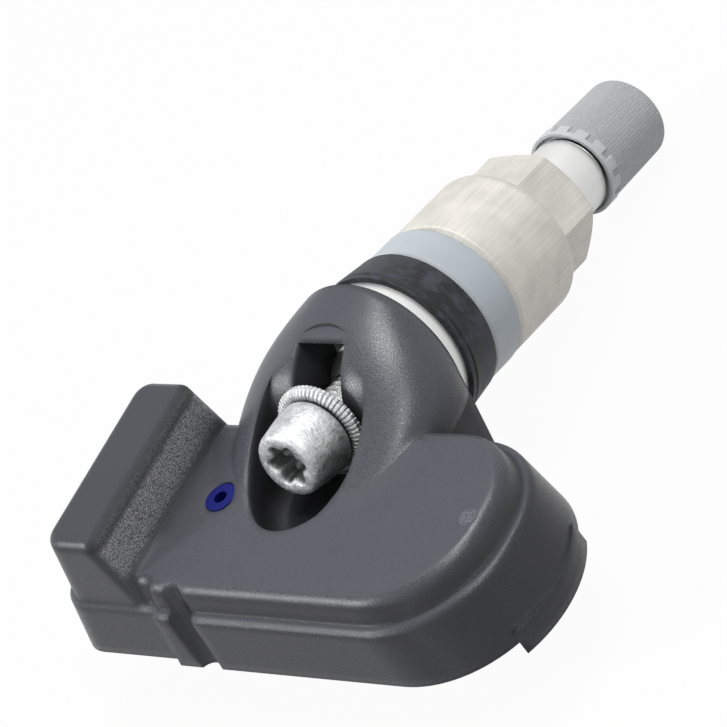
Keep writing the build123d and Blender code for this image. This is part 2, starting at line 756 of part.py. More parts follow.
# Radio antenna: a bent strip over the coil, standing on the board
antenna_low = foot_level + part_height
antenna_high = foot_level + antenna_height
antenna_front = block_bay_y - antenna_span / 2
antenna_rear = block_bay_y + antenna_span / 2
antenna_under = antenna_high - antenna_thickness
with BuildPart() as antenna_strip:
    with BuildSketch(Plane.YZ.offset(block_bay_x)):
        with BuildLine():
            Polyline((antenna_front, antenna_low), (antenna_front, antenna_high),
                     (antenna_rear, antenna_high),
                     (antenna_rear, antenna_low), (antenna_rear - antenna_thickness, antenna_low),
                     (antenna_rear - antenna_thickness, antenna_under),
                     (antenna_front + antenna_thickness, antenna_under),
                     (antenna_front + antenna_thickness, antenna_low), close=True)
        make_face()
    extrude(amount=antenna_width / 2, both=True)
antenna_strip.part.label = "antenna_strip"
export_step(antenna_strip.part, "parts/antenna_strip.step")

# Coin cell with a contact tab below and one above
with BuildPart() as coin_cell:
    with BuildSketch(feet_plane.offset(cell_height)):
        with Locations((battery_x, battery_y)):
            Circle(battery_radius)
    extrude(amount=battery_height)
coin_cell.part.label = "coin_cell"
export_step(coin_cell.part, "parts/coin_cell.step")

with BuildPart() as lower_tab:
    with BuildSketch(feet_plane.offset(part_height)):
        with Locations((battery_x, battery_y)):
            Rectangle(tab_width, battery_radius)
    extrude(amount=tab_thickness)
lower_tab.part.label = "lower_tab"
export_step(lower_tab.part, "parts/lower_tab.step")

with BuildPart() as upper_tab:
    with BuildSketch(Plane.YZ.offset(battery_x)):
        with BuildLine():
            Polyline((battery_y - tab_end, foot_level + part_height),
                     (battery_y - tab_end, foot_level + upper_tab_height + tab_thickness),
                     (battery_y, foot_level + upper_tab_height + tab_thickness),
                     (battery_y, foot_level + upper_tab_height),
                     (battery_y - tab_end + tab_thickness, foot_level + upper_tab_height),
                     (battery_y - tab_end + tab_thickness, foot_level + part_height), close=True)
        make_face()
    extrude(amount=tab_width / 2, both=True)
upper_tab.part.label = "upper_tab"
export_step(upper_tab.part, "parts/upper_tab.step")
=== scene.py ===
import json
import math

import bmesh
import bpy
from mathutils import Matrix, Vector


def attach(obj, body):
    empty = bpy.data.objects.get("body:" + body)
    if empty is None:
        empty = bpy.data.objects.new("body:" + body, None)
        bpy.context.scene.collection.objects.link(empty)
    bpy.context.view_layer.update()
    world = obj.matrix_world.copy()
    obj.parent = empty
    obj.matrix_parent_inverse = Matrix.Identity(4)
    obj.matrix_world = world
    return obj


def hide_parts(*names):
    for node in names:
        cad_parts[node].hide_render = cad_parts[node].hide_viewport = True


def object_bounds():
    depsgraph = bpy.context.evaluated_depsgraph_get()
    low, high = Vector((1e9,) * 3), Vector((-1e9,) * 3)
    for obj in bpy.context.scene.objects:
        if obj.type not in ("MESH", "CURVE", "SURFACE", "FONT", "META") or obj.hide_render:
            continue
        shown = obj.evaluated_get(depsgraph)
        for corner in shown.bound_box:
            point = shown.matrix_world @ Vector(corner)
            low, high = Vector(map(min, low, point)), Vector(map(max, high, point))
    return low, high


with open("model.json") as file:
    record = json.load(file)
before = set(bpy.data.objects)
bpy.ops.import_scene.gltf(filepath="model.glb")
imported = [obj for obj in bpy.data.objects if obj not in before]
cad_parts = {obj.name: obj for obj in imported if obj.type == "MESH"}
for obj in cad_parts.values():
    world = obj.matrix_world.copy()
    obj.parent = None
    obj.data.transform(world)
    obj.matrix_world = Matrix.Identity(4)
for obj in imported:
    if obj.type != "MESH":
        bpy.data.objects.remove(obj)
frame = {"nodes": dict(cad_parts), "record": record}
CAD_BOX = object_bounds()

bl_info = {
    "name": "Tyre Pressure Sensor Finish",
    "version": (1, 0, 0),
    "blender": (4, 5, 0),
    "location": "View3D > Sidebar > Tyre Sensor",
    "description": "Finishes and fine detail for a tyre pressure sensor with a tilting metal valve",
    "category": "Object",
}

MM = 0.001
SHARP_ANGLE = math.radians(32)
WHITE = (1.0, 1.0, 1.0, 1.0)
X_AXIS = Vector((1, 0, 0))
Y_AXIS = Vector((0, 1, 0))
Z_AXIS = Vector((0, 0, 1))
NODES = frame["nodes"]
MOUNTS = {mount["name"]: mount for mount in frame["record"]["mounts"]}
VALVE_AXIS = Vector(MOUNTS["rim_valve_hole"]["axis"]).normalized()
VALVE_SIDE = X_AXIS
VALVE_UP = VALVE_SIDE.cross(VALVE_AXIS).normalized()


class Wire:
    """One output socket of a node tree; arithmetic on it adds Math nodes to that tree."""

    def __init__(self, owner, socket):
        self.owner = owner
        self.socket = socket

    def maths(self, operation, other=0.0, swapped=False):
        pair = [other, self] if swapped else [self, other]
        return self.owner.node("ShaderNodeMath", {"operation": operation}, pair)

    def __add__(self, other):
        return self.maths("ADD", other)

    def __sub__(self, other):
        return self.maths("SUBTRACT", other)

    def __rsub__(self, other):
        return self.maths("SUBTRACT", other, swapped=True)

    def __mul__(self, other):
        return self.maths("MULTIPLY", other)

    def __truediv__(self, other):
        return self.maths("DIVIDE", other)

    def __rtruediv__(self, other):
        return self.maths("DIVIDE", other, swapped=True)

    def __pow__(self, other):
        return self.maths("POWER", other)

    def __rpow__(self, other):
        return self.maths("POWER", other, swapped=True)

    def __neg__(self):
        return self.maths("MULTIPLY", -1.0)

    __radd__ = __add__
    __rmul__ = __mul__


class Nodes:
    """A node tree that is being filled."""

    def __init__(self, tree):
        self.tree = tree

    def feed(self, node, sockets):
        """Sets or links a node's sockets, by name or in order; underscores stand for spaces."""
        pairs = sockets.items() if isinstance(sockets, dict) else enumerate(sockets)
        for key, value in pairs:
            socket = node.inputs[key.replace("_", " ") if isinstance(key, str) else key]
            if isinstance(value, Wire):
                self.tree.links.new(value.socket, socket)
            else:
                socket.default_value = value

    def node(self, kind, settings=None, sockets=None, output=0):
        """Adds a node: its settings first, then its sockets. Gives one of its outputs."""
        made = self.tree.nodes.new(kind)
        for key, value in (settings or {}).items():
            setattr(made, key, value)
        self.feed(made, sockets or {})
        return Wire(self, made.outputs[output])

    def rays(self, *kinds):
        """1 for rays of the kinds named, such as Is Camera Ray, and 0 for others."""
        found = [self.node("ShaderNodeLightPath", output=kind) for kind in kinds]
        return sum(found[1:], found[0]).maths("MINIMUM", 1.0)


class Finish(Nodes):
    """A material being made: its nodes, and the Principled shader that they feed."""

    def __init__(self, name, **values):
        self.material = bpy.data.materials.new(name)
        self.material.use_nodes = True
        super().__init__(self.material.node_tree)
        self.shader = self.tree.nodes["Principled BSDF"]
        self.feed(self.shader, values)

    def paint(self, **sockets):
        """Feeds the shader and gives the material."""
        self.feed(self.shader, sockets)
        return self.material

    def place(self):
        """The point on the surface, in metres in the shared frame."""
        return self.node("ShaderNodeTexCoord", output="Object")

    def along(self, vector, direction):
        """How far a vector reaches in a direction."""
        return self.node("ShaderNodeVectorMath", {"operation": "DOT_PRODUCT"},
                         [vector, tuple(direction)], output="Value")

    def stretched(self, vector, scales):
        return self.node("ShaderNodeVectorMath", {"operation": "MULTIPLY"},
                         [vector, tuple(scales)])

    def unrolled(self, x, y):
        """A flat map of a turned surface, for noise that runs round it or along it."""
        return self.node("ShaderNodeCombineXYZ", None, [x, y, 0.0])

    def noise(self, vector, size, detail=3.0, roughness=0.5):
        """Noise from 0 to 1 whose spots are about size metres across."""
        return self.node("ShaderNodeTexNoise", None,
                         {"Vector": vector, "Scale": 1.0 / size, "Detail": detail,
                          "Roughness": roughness})

    def step(self, value, low, high):
        """0 below low and 1 above high, smooth between them."""
        return self.node("ShaderNodeMapRange", {"interpolation_type": "SMOOTHSTEP"},
                         {"Value": value, "From Min": low, "From Max": high})

    def mix(self, factor, first, second):
        """A mix of two colours. A Mix node's colour sockets share names, so they go by number."""
        return self.node("ShaderNodeMix", {"data_type": "RGBA"},
                         {0: factor, 6: first, 7: second}, output=2)

    def bump(self, height, depth, strength=1.0, under=None):
        """The normal with a height of 0 to 1 raised to depth metres, over another normal."""
        sockets = {"Height": height, "Distance": depth, "Strength": strength}
        if under is not None:
            sockets["Normal"] = under
        return self.node("ShaderNodeBump", None, sockets)

    def open_sky(self, reach):
        """1 on open surfaces and less in corners and pockets up to reach metres wide, as a mask for
        painted shade.
        """
        return self.node("ShaderNodeAmbientOcclusion", {"samples": 8}, {"Distance": reach},
                         output="AO")

    def softened(self, radius):
        """The normal with edges rounded to a radius."""
        return self.node("ShaderNodeBevel", {"samples": 8}, {"Radius": radius})

    def valve_angle(self, place):
        """Angle round the valve axis."""
        return self.along(place, VALVE_UP).maths("ARCTAN2", self.along(place, VALVE_SIDE))

    def valve_radius(self, place):
        """Distance from the valve axis."""
        side = self.along(place, VALVE_SIDE)
        up = self.along(place, VALVE_UP)
        return (side * side + up * up) ** 0.5


def colour(rgb, gain=1.0):
    return (rgb[0] * gain, rgb[1] * gain, rgb[2] * gain, 1.0)


def dress(names, material):
    """Gives CAD nodes a finish in place of their plain one."""
    for name in names:
        if name not in NODES:
            raise RuntimeError(f"the frame has no node {name}")
        slots = NODES[name].data.materials
        if len(slots) == 0:
            slots.append(material)
        for index in range(len(slots)):
            slots[index] = material


def smooth(row, step):
    """No ripple: every row of a turned piece is a plain circle."""
    return 0.0, 0.0


def turned_piece(name, rows, segments, ripple, origin=Vector((0, 0, 0)), axes=None, solid=False):
    """A closed turned mesh from (radius, along) rows.

    ripple(row, step) gives what a point adds to its row's radius and place along the axis. The
    piece stands on the valve axis unless another origin and axes (side, up, along) are given. A
    solid piece is capped at its first and last rows; any other is a ring whose last row joins its
    first.
    """
    side_axis, up_axis, turn_axis = axes or (VALVE_SIDE, VALVE_UP, VALVE_AXIS)
    mesh = bpy.data.meshes.new(name)
    shape = bmesh.new()
    rings = []
    for row, (radius, along) in enumerate(rows):
        ring = []
        for step in range(segments):
            angle = 2 * math.pi * step / segments
            more_radius, more_along = ripple(row, step)
            out = side_axis * math.cos(angle) + up_axis * math.sin(angle)
            spot = origin + turn_axis * (along + more_along) + out * (radius + more_radius)
            ring.append(shape.verts.new(spot))
        rings.append(ring)
    if solid:
        shape.faces.new(rings[0])
        shape.faces.new(rings[-1])
    for row in range(len(rows) - 1 if solid else len(rows)):
        low, high = rings[row], rings[(row + 1) % len(rows)]
        for step in range(segments):
            ahead = (step + 1) % segments
            shape.faces.new((low[step], low[ahead], high[ahead], high[step]))
    bmesh.ops.recalc_face_normals(shape, faces=shape.faces)
    for face in shape.faces:
        face.smooth = True
    for edge in shape.edges:
        if edge.is_manifold and edge.calc_face_angle() > SHARP_ANGLE:
            edge.smooth = False
    shape.to_mesh(mesh)
    shape.free()
    piece = bpy.data.objects.new(name, mesh)
    bpy.context.scene.collection.objects.link(piece)
    return piece


class CaseLook(bpy.types.PropertyGroup):
    """Moulded case."""

    plastic: bpy.props.FloatVectorProperty(
        name="Plastic", description="Colour of the moulded case", subtype="COLOR", size=3,
        min=0, max=1, default=(0.064, 0.066, 0.080))
    grain: bpy.props.FloatProperty(
        name="Grain", description="Spacing of the spark-eroded grain", subtype="DISTANCE",
        unit="LENGTH", default=0.15 * MM)
    grain_depth: bpy.props.FloatProperty(
        name="Grain Depth", description="Depth of the grain", subtype="DISTANCE",
        unit="LENGTH", default=0.007 * MM)
    mark_place: bpy.props.FloatVectorProperty(
        name="Mark Place", description="Centre of the ejector pin's mark", subtype="XYZ",
        unit="LENGTH", size=3, default=(21.9 * MM, -24.9 * MM, 3.65 * MM))
    mark_size: bpy.props.FloatProperty(
        name="Mark Size", description="Diameter of the ejector pin's mark", subtype="DISTANCE",
        unit="LENGTH", default=1.9 * MM)
    # Painted glints: the pale colour of the block wall's coarse grain stands in for light caught by
    # the grain.
    grain_glint: bpy.props.FloatVectorProperty(
        name="Sparkle", description="Bright grains of the block's wall", subtype="COLOR", size=3,
        min=0, max=1, default=(0.46, 0.46, 0.475))
    coarse_grain: bpy.props.FloatProperty(
        name="Coarse Grain", description="Spacing of the grain on the block's wall",
        subtype="DISTANCE", unit="LENGTH", default=0.13 * MM)
    # Reach of the painted shade in recesses.
    recess_shade: bpy.props.FloatProperty(
        name="Recess", description="Reach of the darkening in recesses", subtype="DISTANCE",
        unit="LENGTH", default=6.0 * MM)
    edge_radius: bpy.props.FloatProperty(
        name="Edge Radius", description="Softness of moulded edges", subtype="DISTANCE",
        unit="LENGTH", default=1.4 * MM)
    port: bpy.props.FloatVectorProperty(
        name="Port", description="Colour of the soft port tube", subtype="COLOR", size=3,
        min=0, max=1, default=(0.005, 0.008, 0.14))


class ValveLook(bpy.types.PropertyGroup):
    """Metal valve, nut, washer and grommet."""

    stem: bpy.props.FloatVectorProperty(
        name="Stem", description="Colour of the turned stem", subtype="COLOR", size=3,
        min=0, max=1, default=(0.73, 0.735, 0.725))
    nut: bpy.props.FloatVectorProperty(
        name="Nut", description="Colour of the plated nut", subtype="COLOR", size=3,
        min=0, max=1, default=(0.66, 0.64, 0.595))
    washer: bpy.props.FloatVectorProperty(
        name="Washer", description="Colour of the thrust washer", subtype="COLOR", size=3,
        min=0, max=1, default=(0.50, 0.55, 0.59))
    rubber: bpy.props.FloatVectorProperty(
        name="Rubber", description="Colour of the grommet", subtype="COLOR", size=3,
        min=0, max=1, default=(0.016, 0.017, 0.022))
    cap_pitch: bpy.props.FloatProperty(
        name="Cap Thread Pitch", description="Pitch of the thread under the cap",
        subtype="DISTANCE", unit="LENGTH", default=0.794 * MM)


class CapLook(bpy.types.PropertyGroup):
    """Ribbed valve cap."""

    plastic: bpy.props.FloatVectorProperty(
        name="Plastic", description="Colour of the cap", subtype="COLOR", size=3,
        min=0, max=1, default=(0.45, 0.46, 0.475))
    ribs: bpy.props.IntProperty(
        name="Ribs", description="Fine ribs round the cap", default=84, min=12)
    rib_depth: bpy.props.FloatProperty(
        name="Rib Depth", description="Depth of the ribs", subtype="DISTANCE",
        unit="LENGTH", default=0.035 * MM)
    notches: bpy.props.IntProperty(
        name="Notches", description="Notches in the lower band", default=14, min=4)


class ClampLook(bpy.types.PropertyGroup):
    """Clamp screw and lock washer."""

    steel: bpy.props.FloatVectorProperty(
        name="Steel", description="Colour of the zinc-plated steel", subtype="COLOR", size=3,
        min=0, max=1, default=(0.55, 0.565, 0.565))
    teeth: bpy.props.IntProperty(
        name="Teeth", description="Serrations round the lock washer", default=60, min=8)
    tooth_depth: bpy.props.FloatProperty(
        name="Tooth Depth", description="Depth of the serrations", subtype="DISTANCE",
        unit="LENGTH", default=0.15 * MM)
    pitch: bpy.props.FloatProperty(
        name="Screw Pitch", description="Pitch of the screw thread", subtype="DISTANCE",
        unit="LENGTH", default=0.8 * MM)


class StageLook(bpy.types.PropertyGroup):
    """Camera and light."""

    camera_place: bpy.props.FloatVectorProperty(
        name="Camera Place", description="Where the camera stands", subtype="XYZ",
        unit="LENGTH", size=3, default=(0.2520, -0.1855, 0.2235))
    camera_right: bpy.props.FloatVectorProperty(
        name="Camera Right", description="Direction of the picture's right edge",
        subtype="DIRECTION", size=3, default=(0.7454, 0.4384, -0.5022))
    camera_forward: bpy.props.FloatVectorProperty(
        name="Camera Forward", description="Direction that the camera looks",
        subtype="DIRECTION", size=3, default=(-0.6663, 0.4690, -0.5797))
    lens: bpy.props.FloatProperty(
        name="Lens", description="Focal length in millimetres on a 36 mm sensor",
        default=198.2, min=1)
    sky: bpy.props.FloatProperty(
        name="Sky", description="Strength of the even studio light", default=0.11, min=0)
    key: bpy.props.FloatProperty(
        name="Key", description="Power of the large lamp above and behind",
        subtype="POWER", unit="POWER", default=2.5)
    fill: bpy.props.FloatProperty(
        name="Fill", description="Power of the lamp at the front left",
        subtype="POWER", unit="POWER", default=1.9)
    side: bpy.props.FloatProperty(
        name="Side", description="Power of the small lamp high on the right",
        subtype="POWER", unit="POWER", default=0.9)


class SensorLook(bpy.types.PropertyGroup):
    """All the looks of the sensor."""

    case: bpy.props.PointerProperty(type=CaseLook)
    valve: bpy.props.PointerProperty(type=ValveLook)
    cap: bpy.props.PointerProperty(type=CapLook)
    clamp: bpy.props.PointerProperty(type=ClampLook)
    stage: bpy.props.PointerProperty(type=StageLook)


class TYRESENSOR_OT_case(bpy.types.Operator):
    """Finish the moulded case, its cover and the soft port, and add the ejector pin's mark"""

    bl_idname = "tyresensor.case"
    bl_label = "Case"

    # Each pair is where a zone of the case begins and where its look is full.
    block_side = (12.0 * MM, 13.0 * MM)
    block_wall = (3.7 * MM, 5.2 * MM)
    block_rim = (7.6 * MM, 8.4 * MM)
    block_top = (9.1 * MM, 9.35 * MM)
    upper_wall = (1.0 * MM, 4.5 * MM)
    pockets = (-31.0 * MM, -28.0 * MM)

    mark_height = 0.03 * MM
    mark_root = 0.1 * MM
    mark_bevel = 0.15 * MM
    mark_centre = 0.3
    mark_segments = 48

    def execute(self, context):
        look = context.scene.tyre_sensor.case
        for name in ("sensor_housing", "base_cover"):
            dress([name], self.moulded(name, look))
        self.pin_mark(look)
        dress(["port_seal"], self.soft_port(look))
        return {"FINISHED"}

    def moulded(self, name, look):
        """Spark-eroded plastic: coarse grain with painted glints on the block's wall, a darker
        block top, and painted shade on low walls, front faces, the block's top edge and the
        pockets.
        """
        finish = Finish(f"{name}_moulded", Specular_IOR_Level=0.42)
        place = finish.place()
        height = finish.along(place, Z_AXIS)
        facing = finish.node("ShaderNodeNewGeometry", output="Normal")
        right_facing = finish.along(facing, X_AXIS)
        flat_top = finish.step(finish.along(facing, Z_AXIS), 0.93, 0.995)
        # Front faces, for painted shade.
        front = finish.step(finish.along(facing, -Y_AXIS), 0.72, 0.95)

        left_end = finish.step(-finish.along(place, X_AXIS), *self.block_side)
        wall = finish.step(right_facing, 0.6, 0.9)
        coarse_wall = wall * left_end * finish.step(height, *self.block_wall)
        # Painted shade: lower walls that face right are darkened in colour.
        low_wall_shade = finish.step(right_facing, 0.0, 0.8)
        low_wall_shade = low_wall_shade * (1 - finish.step(height, *self.upper_wall))
        block_top = finish.step(height, *self.block_top) * left_end
        # Painted shade: the block's top right edge is rougher and is also painted darker.
        dull_shaded_edge = finish.step(right_facing, 0.1, 0.35)
        dull_shaded_edge = dull_shaded_edge * finish.step(height, *self.block_rim) * left_end

        fine = finish.step(finish.noise(place, look.grain, 2.0, 0.6), 0.33, 0.67)
        coarse = finish.step(finish.noise(place, look.coarse_grain, 2.0, 0.5), 0.36, 0.64)
        cloud = finish.noise(place, 7.0 * MM, 3.0, 0.5)
        grain = fine * (1 - 0.6 * block_top) + coarse * coarse_wall * 2.0
        behind_front = finish.step(finish.along(place, Y_AXIS), *self.pockets)
        open_sky = finish.step(finish.open_sky(look.recess_shade), 0.25, 0.85)
        open_sky = 1 - behind_front * (1 - open_sky)

        base = finish.mix(cloud * 0.4 + fine * 0.6,
                          colour(look.plastic, 0.74), colour(look.plastic, 1.3))
        # Painted glints on the coarse grain of the block's wall.
        base = finish.mix(coarse_wall * coarse, base, colour(look.grain_glint))
        # The block's top is painted darker, and its top right edge carries painted shade.
        darker_top_and_shaded_edge = (block_top * 0.55).maths("MAXIMUM", dull_shaded_edge * 0.8)
        base = finish.mix(darker_top_and_shaded_edge, base, colour(look.plastic, 0.3))
        # Painted shade on the lower right-facing walls and the front faces.
        painted_wall_shade = low_wall_shade.maths("MAXIMUM", front) * 0.75
        base = finish.mix(painted_wall_shade, base, colour(look.plastic, 0.2))
        # Painted shade: corners and pockets behind the front are darkened almost to black.
        base = finish.mix(open_sky, colour(look.plastic, 0.02), base)
        roughness = 0.22 + 0.16 * fine + 0.6 * (1 - open_sky) + 0.4 * dull_shaded_edge + 0.35 * flat_top
        normal = finish.bump(grain, look.grain_depth, 0.9, finish.softened(look.edge_radius))
        return finish.paint(Base_Color=base, Roughness=roughness, Normal=normal)

    def pin_mark(self, look):
        """The low rough disc that an ejector pin left on the flat top."""
        outer = look.mark_size / 2
        rows = [(outer, -self.mark_root), (outer, 0.0),
                (outer - self.mark_bevel, self.mark_height),
                (self.mark_centre * outer, self.mark_height)]
        mark = turned_piece("pin_mark", rows, self.mark_segments, smooth,
                            Vector(look.mark_place), (X_AXIS, Y_AXIS, Z_AXIS), solid=True)
        mark.data.materials.append(self.scuffed(look))
        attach(mark, "case")

    def scuffed(self, look):
        """Paler, rougher plastic for the ejector pin's mark."""
        finish = Finish("mark_scuffed", Specular_IOR_Level=0.42)
        spots = finish.step(finish.noise(finish.place(), 0.3 * MM, 4.0, 0.7), 0.35, 0.65)
        base = finish.mix(spots, colour(look.plastic, 0.95), colour(look.plastic, 2.1))
        return finish.paint(Base_Color=base, Roughness=0.6 + 0.1 * spots,
                            Normal=finish.bump(spots, look.grain_depth, 0.6))

    def soft_port(self, look):
        """Cloudy satin rubber."""
        finish = Finish("port_rubber", Specular_IOR_Level=0.2)
        place = finish.place()
        cloud = finish.noise(place, 0.7 * MM, 3.0)
        base = finish.mix(cloud, colour(look.port, 0.7), colour(look.port, 1.25))
        pores = finish.noise(place, 0.12 * MM)
        return finish.paint(Base_Color=base, Roughness=0.38 + 0.15 * cloud,
                            Normal=finish.bump(pores, 0.01 * MM, 0.4))


class TYRESENSOR_OT_valve(bpy.types.Operator):
    """Finish the stem, union nut, thrust washer and grommet"""

    bl_idname = "tyresensor.valve"
    bl_label = "Valve"

    thread_start = (27.1 * MM, 27.4 * MM)
    thread_radius = (3.6 * MM, 3.7 * MM)
    thread_depth = 0.32 * MM
    washer_edge = 0.62 * MM
    washer_fade = 0.05 * MM
    # Colour of the painted highlight on the washer's edge.
    washer_highlight_tone = (0.8, 0.82, 0.83, 1.0)

    def execute(self, context):
        look = context.scene.tyre_sensor.valve
        dress(["valve_stem"], self.turned_stem(look))
        dress(["union_nut"], self.plated_nut(look))
        dress(["thrust_washer"], self.smooth_washer(look))
        dress(["rubber_grommet"], self.handled_rubber(look))
        return {"FINISHED"}

    def turned_stem(self, look):
        """Satin metal with turning lines, and a thread under the cap."""
        finish = Finish("stem_turned", Metallic=1.0)
        place = finish.place()
        along = finish.along(place, VALVE_AXIS)
        angle = finish.valve_angle(place)
        rings = finish.noise(finish.unrolled(along, angle * (0.02 * MM)), 0.09 * MM, 2.0)
        cloud = finish.noise(place, 3.0 * MM, 3.0)
        base = finish.mix(cloud, colour(look.stem, 0.94), colour(look.stem, 1.05))
        under_cap = finish.step(along, *self.thread_start)
        under_cap = under_cap * finish.step(finish.valve_radius(place), *self.thread_radius)
        turns = along / look.cap_pitch - angle / (2 * math.pi)
        thread = turns.maths("PINGPONG", 0.5) * 2.0 * under_cap
        lines = finish.bump(rings, 0.006 * MM, 0.5)
        return finish.paint(Base_Color=base, Roughness=0.34 + 0.12 * cloud,
                            Normal=finish.bump(thread, self.thread_depth, 1.0, lines))

    def plated_nut(self, look):
        """Dull plating with fine streaks along the axis."""
        finish = Finish("nut_plated", Metallic=0.6)
        place = finish.place()
        along = finish.along(place, VALVE_AXIS)
        angle = finish.valve_angle(place)
        streaks = finish.unrolled(angle * (9.0 * MM), along * 0.02)
        streaks = finish.noise(streaks, 0.16 * MM, 3.0, 0.6)
        cloud = finish.noise(place, 2.4 * MM, 4.0)
        tone = streaks * 0.6 + cloud * 0.4
        base = finish.mix(finish.step(tone, 0.3, 0.7),
                          colour(look.nut, 0.84), colour(look.nut, 1.08))
        normal = finish.bump(streaks, 0.01 * MM, 0.5, finish.softened(0.25 * MM))
        return finish.paint(Base_Color=base, Roughness=0.56 + 0.16 * tone, Normal=normal)

    def smooth_washer(self, look):
        """Satin plastic with turning lines and a painted highlight along the edge next to the
        grommet.
        """
        finish = Finish("washer_smooth", Specular_IOR_Level=0.5)
        place = finish.place()
        along = finish.along(place, VALVE_AXIS)
        angle = finish.valve_angle(place)
        cloud = finish.noise(place, 2.0 * MM, 3.0)
        rings = finish.noise(finish.unrolled(along, angle * (0.01 * MM)), 0.11 * MM, 2.0)
        base = finish.mix(cloud, colour(look.washer, 0.93), colour(look.washer, 1.06))
        # Painted highlight: a paler band along the edge next to the grommet.
        edge_highlight = finish.step(self.washer_edge - along, -self.washer_fade, self.washer_fade)
        base = finish.mix(edge_highlight * 0.35, base, self.washer_highlight_tone)
        normal = finish.bump(rings, 0.006 * MM, 0.5, finish.softened(0.2 * MM))
        return finish.paint(Base_Color=base, Roughness=0.33 + 0.1 * cloud, Normal=normal)

    def handled_rubber(self, look):
        """Matt rubber with dust, scuffs and pores."""
        finish = Finish("grommet_rubber", Specular_IOR_Level=0.35)
        place = finish.place()
        along = finish.along(place, VALVE_AXIS)
        angle = finish.valve_angle(place)
        smudge = finish.noise(place, 2.6 * MM, 6.0, 0.65)
        scuffs = finish.noise(finish.unrolled(angle * (3.0 * MM), along), 0.5 * MM, 5.0, 0.7)
        dust = finish.step(smudge * 0.6 + scuffs * 0.4, 0.44, 0.60)
        base = finish.mix(dust, colour(look.rubber, 0.3), colour(look.rubber, 3.2))
        pores = finish.noise(place, 0.16 * MM, 2.0)
        normal = finish.bump(pores, 0.012 * MM, 0.5, finish.softened(0.15 * MM))
        return finish.paint(Base_Color=base, Roughness=0.42 + 0.25 * dust, Normal=normal)


class TYRESENSOR_OT_cap(bpy.types.Operator):
    """Build the ribbed cap with its notched band, and finish its seal"""

    bl_idname = "tyresensor.cap"
    bl_label = "Cap"

    bottom = 27.2 * MM
    length = 11.0 * MM
    band_radius = 4.87 * MM
    band_height = 1.5 * MM
    band_floor = 0.5 * MM
    band_bevel = 0.12 * MM
    band_step = 0.04 * MM
    body_radius = 4.74 * MM
    body_shares = (0.05, 0.35, 0.65, 1.0)
    top_radius = 4.60 * MM
    top_wall = 1.1 * MM
    edge = 0.7 * MM
    edge_rows = 5
    ribbed_edge_rows = 2
    bore_radius = 3.95 * MM
    mouth_radius = 4.5 * MM
    mouth_depth = 0.5 * MM
    centre_radius = 0.02 * MM
    steps_per_rib = 4
    notch_start = 0.62
    seal_tones = ((0.015, 0.015, 0.016, 1.0), (0.03, 0.03, 0.032, 1.0))

    def execute(self, context):
        look = context.scene.tyre_sensor.cap
        rows = self.outline()
        segments = look.ribs * self.steps_per_rib
        per_notch = segments / look.notches

        def ripple(row, step):
            kind = rows[row][2]
            if kind == "rib":
                wave = math.cos(2 * math.pi * step / self.steps_per_rib)
                return look.rib_depth * (wave - 1) / 2, 0.0
            if kind == "notch" and (step % per_notch) / per_notch > self.notch_start:
                return self.body_radius - look.rib_depth - self.band_radius, 0.0
            return 0.0, 0.0

        cap = turned_piece("ribbed_cap", [row[:2] for row in rows], segments, ripple, solid=True)
        cap.data.materials.append(self.ribbed(look))
        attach(cap, "cap")
        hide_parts("valve_cap")
        dress(["cap_seal"], self.seal())
        return {"FINISHED"}

    def outline(self):
        """Rows of radius, place along the axis and kind, from the bore's roof round to the top."""
        bottom, top = self.bottom, self.bottom + self.length
        roof = top - self.top_wall
        mouth = bottom + self.mouth_depth
        band_floor = bottom + self.band_floor
        body = bottom + self.band_height + self.band_step
        rows = [(self.centre_radius, roof, "plain"),
                (self.bore_radius, roof, "plain"),
                (self.bore_radius, mouth, "plain"),
                (self.mouth_radius, mouth, "plain"),
                (self.mouth_radius, bottom, "plain"),
                (self.band_radius - self.band_bevel, bottom, "plain"),
                (self.band_radius, bottom + self.band_bevel, "plain"),
                (self.band_radius, band_floor, "plain"),
                (self.band_radius, band_floor + self.band_step, "notch"),
                (self.band_radius, bottom + self.band_height, "notch"),
                (self.body_radius, body, "rib")]
        rise = top - self.edge - body
        for share in self.body_shares:
            radius = self.body_radius + (self.top_radius - self.body_radius) * share
            rows.append((radius, body + rise * share, "rib"))
        for row in range(1, self.edge_rows + 1):
            angle = math.pi / 2 * row / self.edge_rows
            rows.append((self.top_radius - self.edge * (1 - math.cos(angle)),
                         top - self.edge + self.edge * math.sin(angle),
                         "rib" if row <= self.ribbed_edge_rows else "plain"))
        rows.append((self.centre_radius, top, "plain"))
        return rows

    def ribbed(self, look):
        """Satin plastic, speckled and streaked along the ribs, with a worn paler band."""
        finish = Finish("cap_satin", Specular_IOR_Level=0.5)
        place = finish.place()
        along = finish.along(place, VALVE_AXIS)
        angle = finish.valve_angle(place)
        cloud = finish.noise(place, 1.6 * MM, 4.0)
        streaks = finish.unrolled(angle * (4.7 * MM), along * 0.05)
        streaks = finish.noise(streaks, 0.2 * MM, 3.0)
        tone = cloud * 0.45 + streaks * 0.55
        specks = finish.step(finish.noise(place, 0.14 * MM, 2.0), 0.3, 0.7)
        base = finish.mix(tone * 0.5 + specks * 0.5,
                          colour(look.plastic, 0.66), colour(look.plastic, 1.25))
        worn = finish.step(self.bottom + self.band_height - along, 0.0, 0.1 * MM)
        worn = worn * finish.step(finish.valve_radius(place), self.body_radius,
                                  self.band_radius - 0.03 * MM)
        base = finish.mix(worn * 0.5, base, colour(look.plastic, 1.7))
        return finish.paint(Base_Color=base, Roughness=0.4 + 0.14 * cloud,
                            Normal=finish.bump(specks + streaks, 0.012 * MM, 0.6))

    def seal(self):
        """Plain black rubber."""
        finish = Finish("cap_seal_rubber")
        cloud = finish.noise(finish.place(), 0.8 * MM, 3.0)
        base = finish.mix(cloud, *self.seal_tones)
        return finish.paint(Base_Color=base, Roughness=0.55 + 0.2 * cloud)


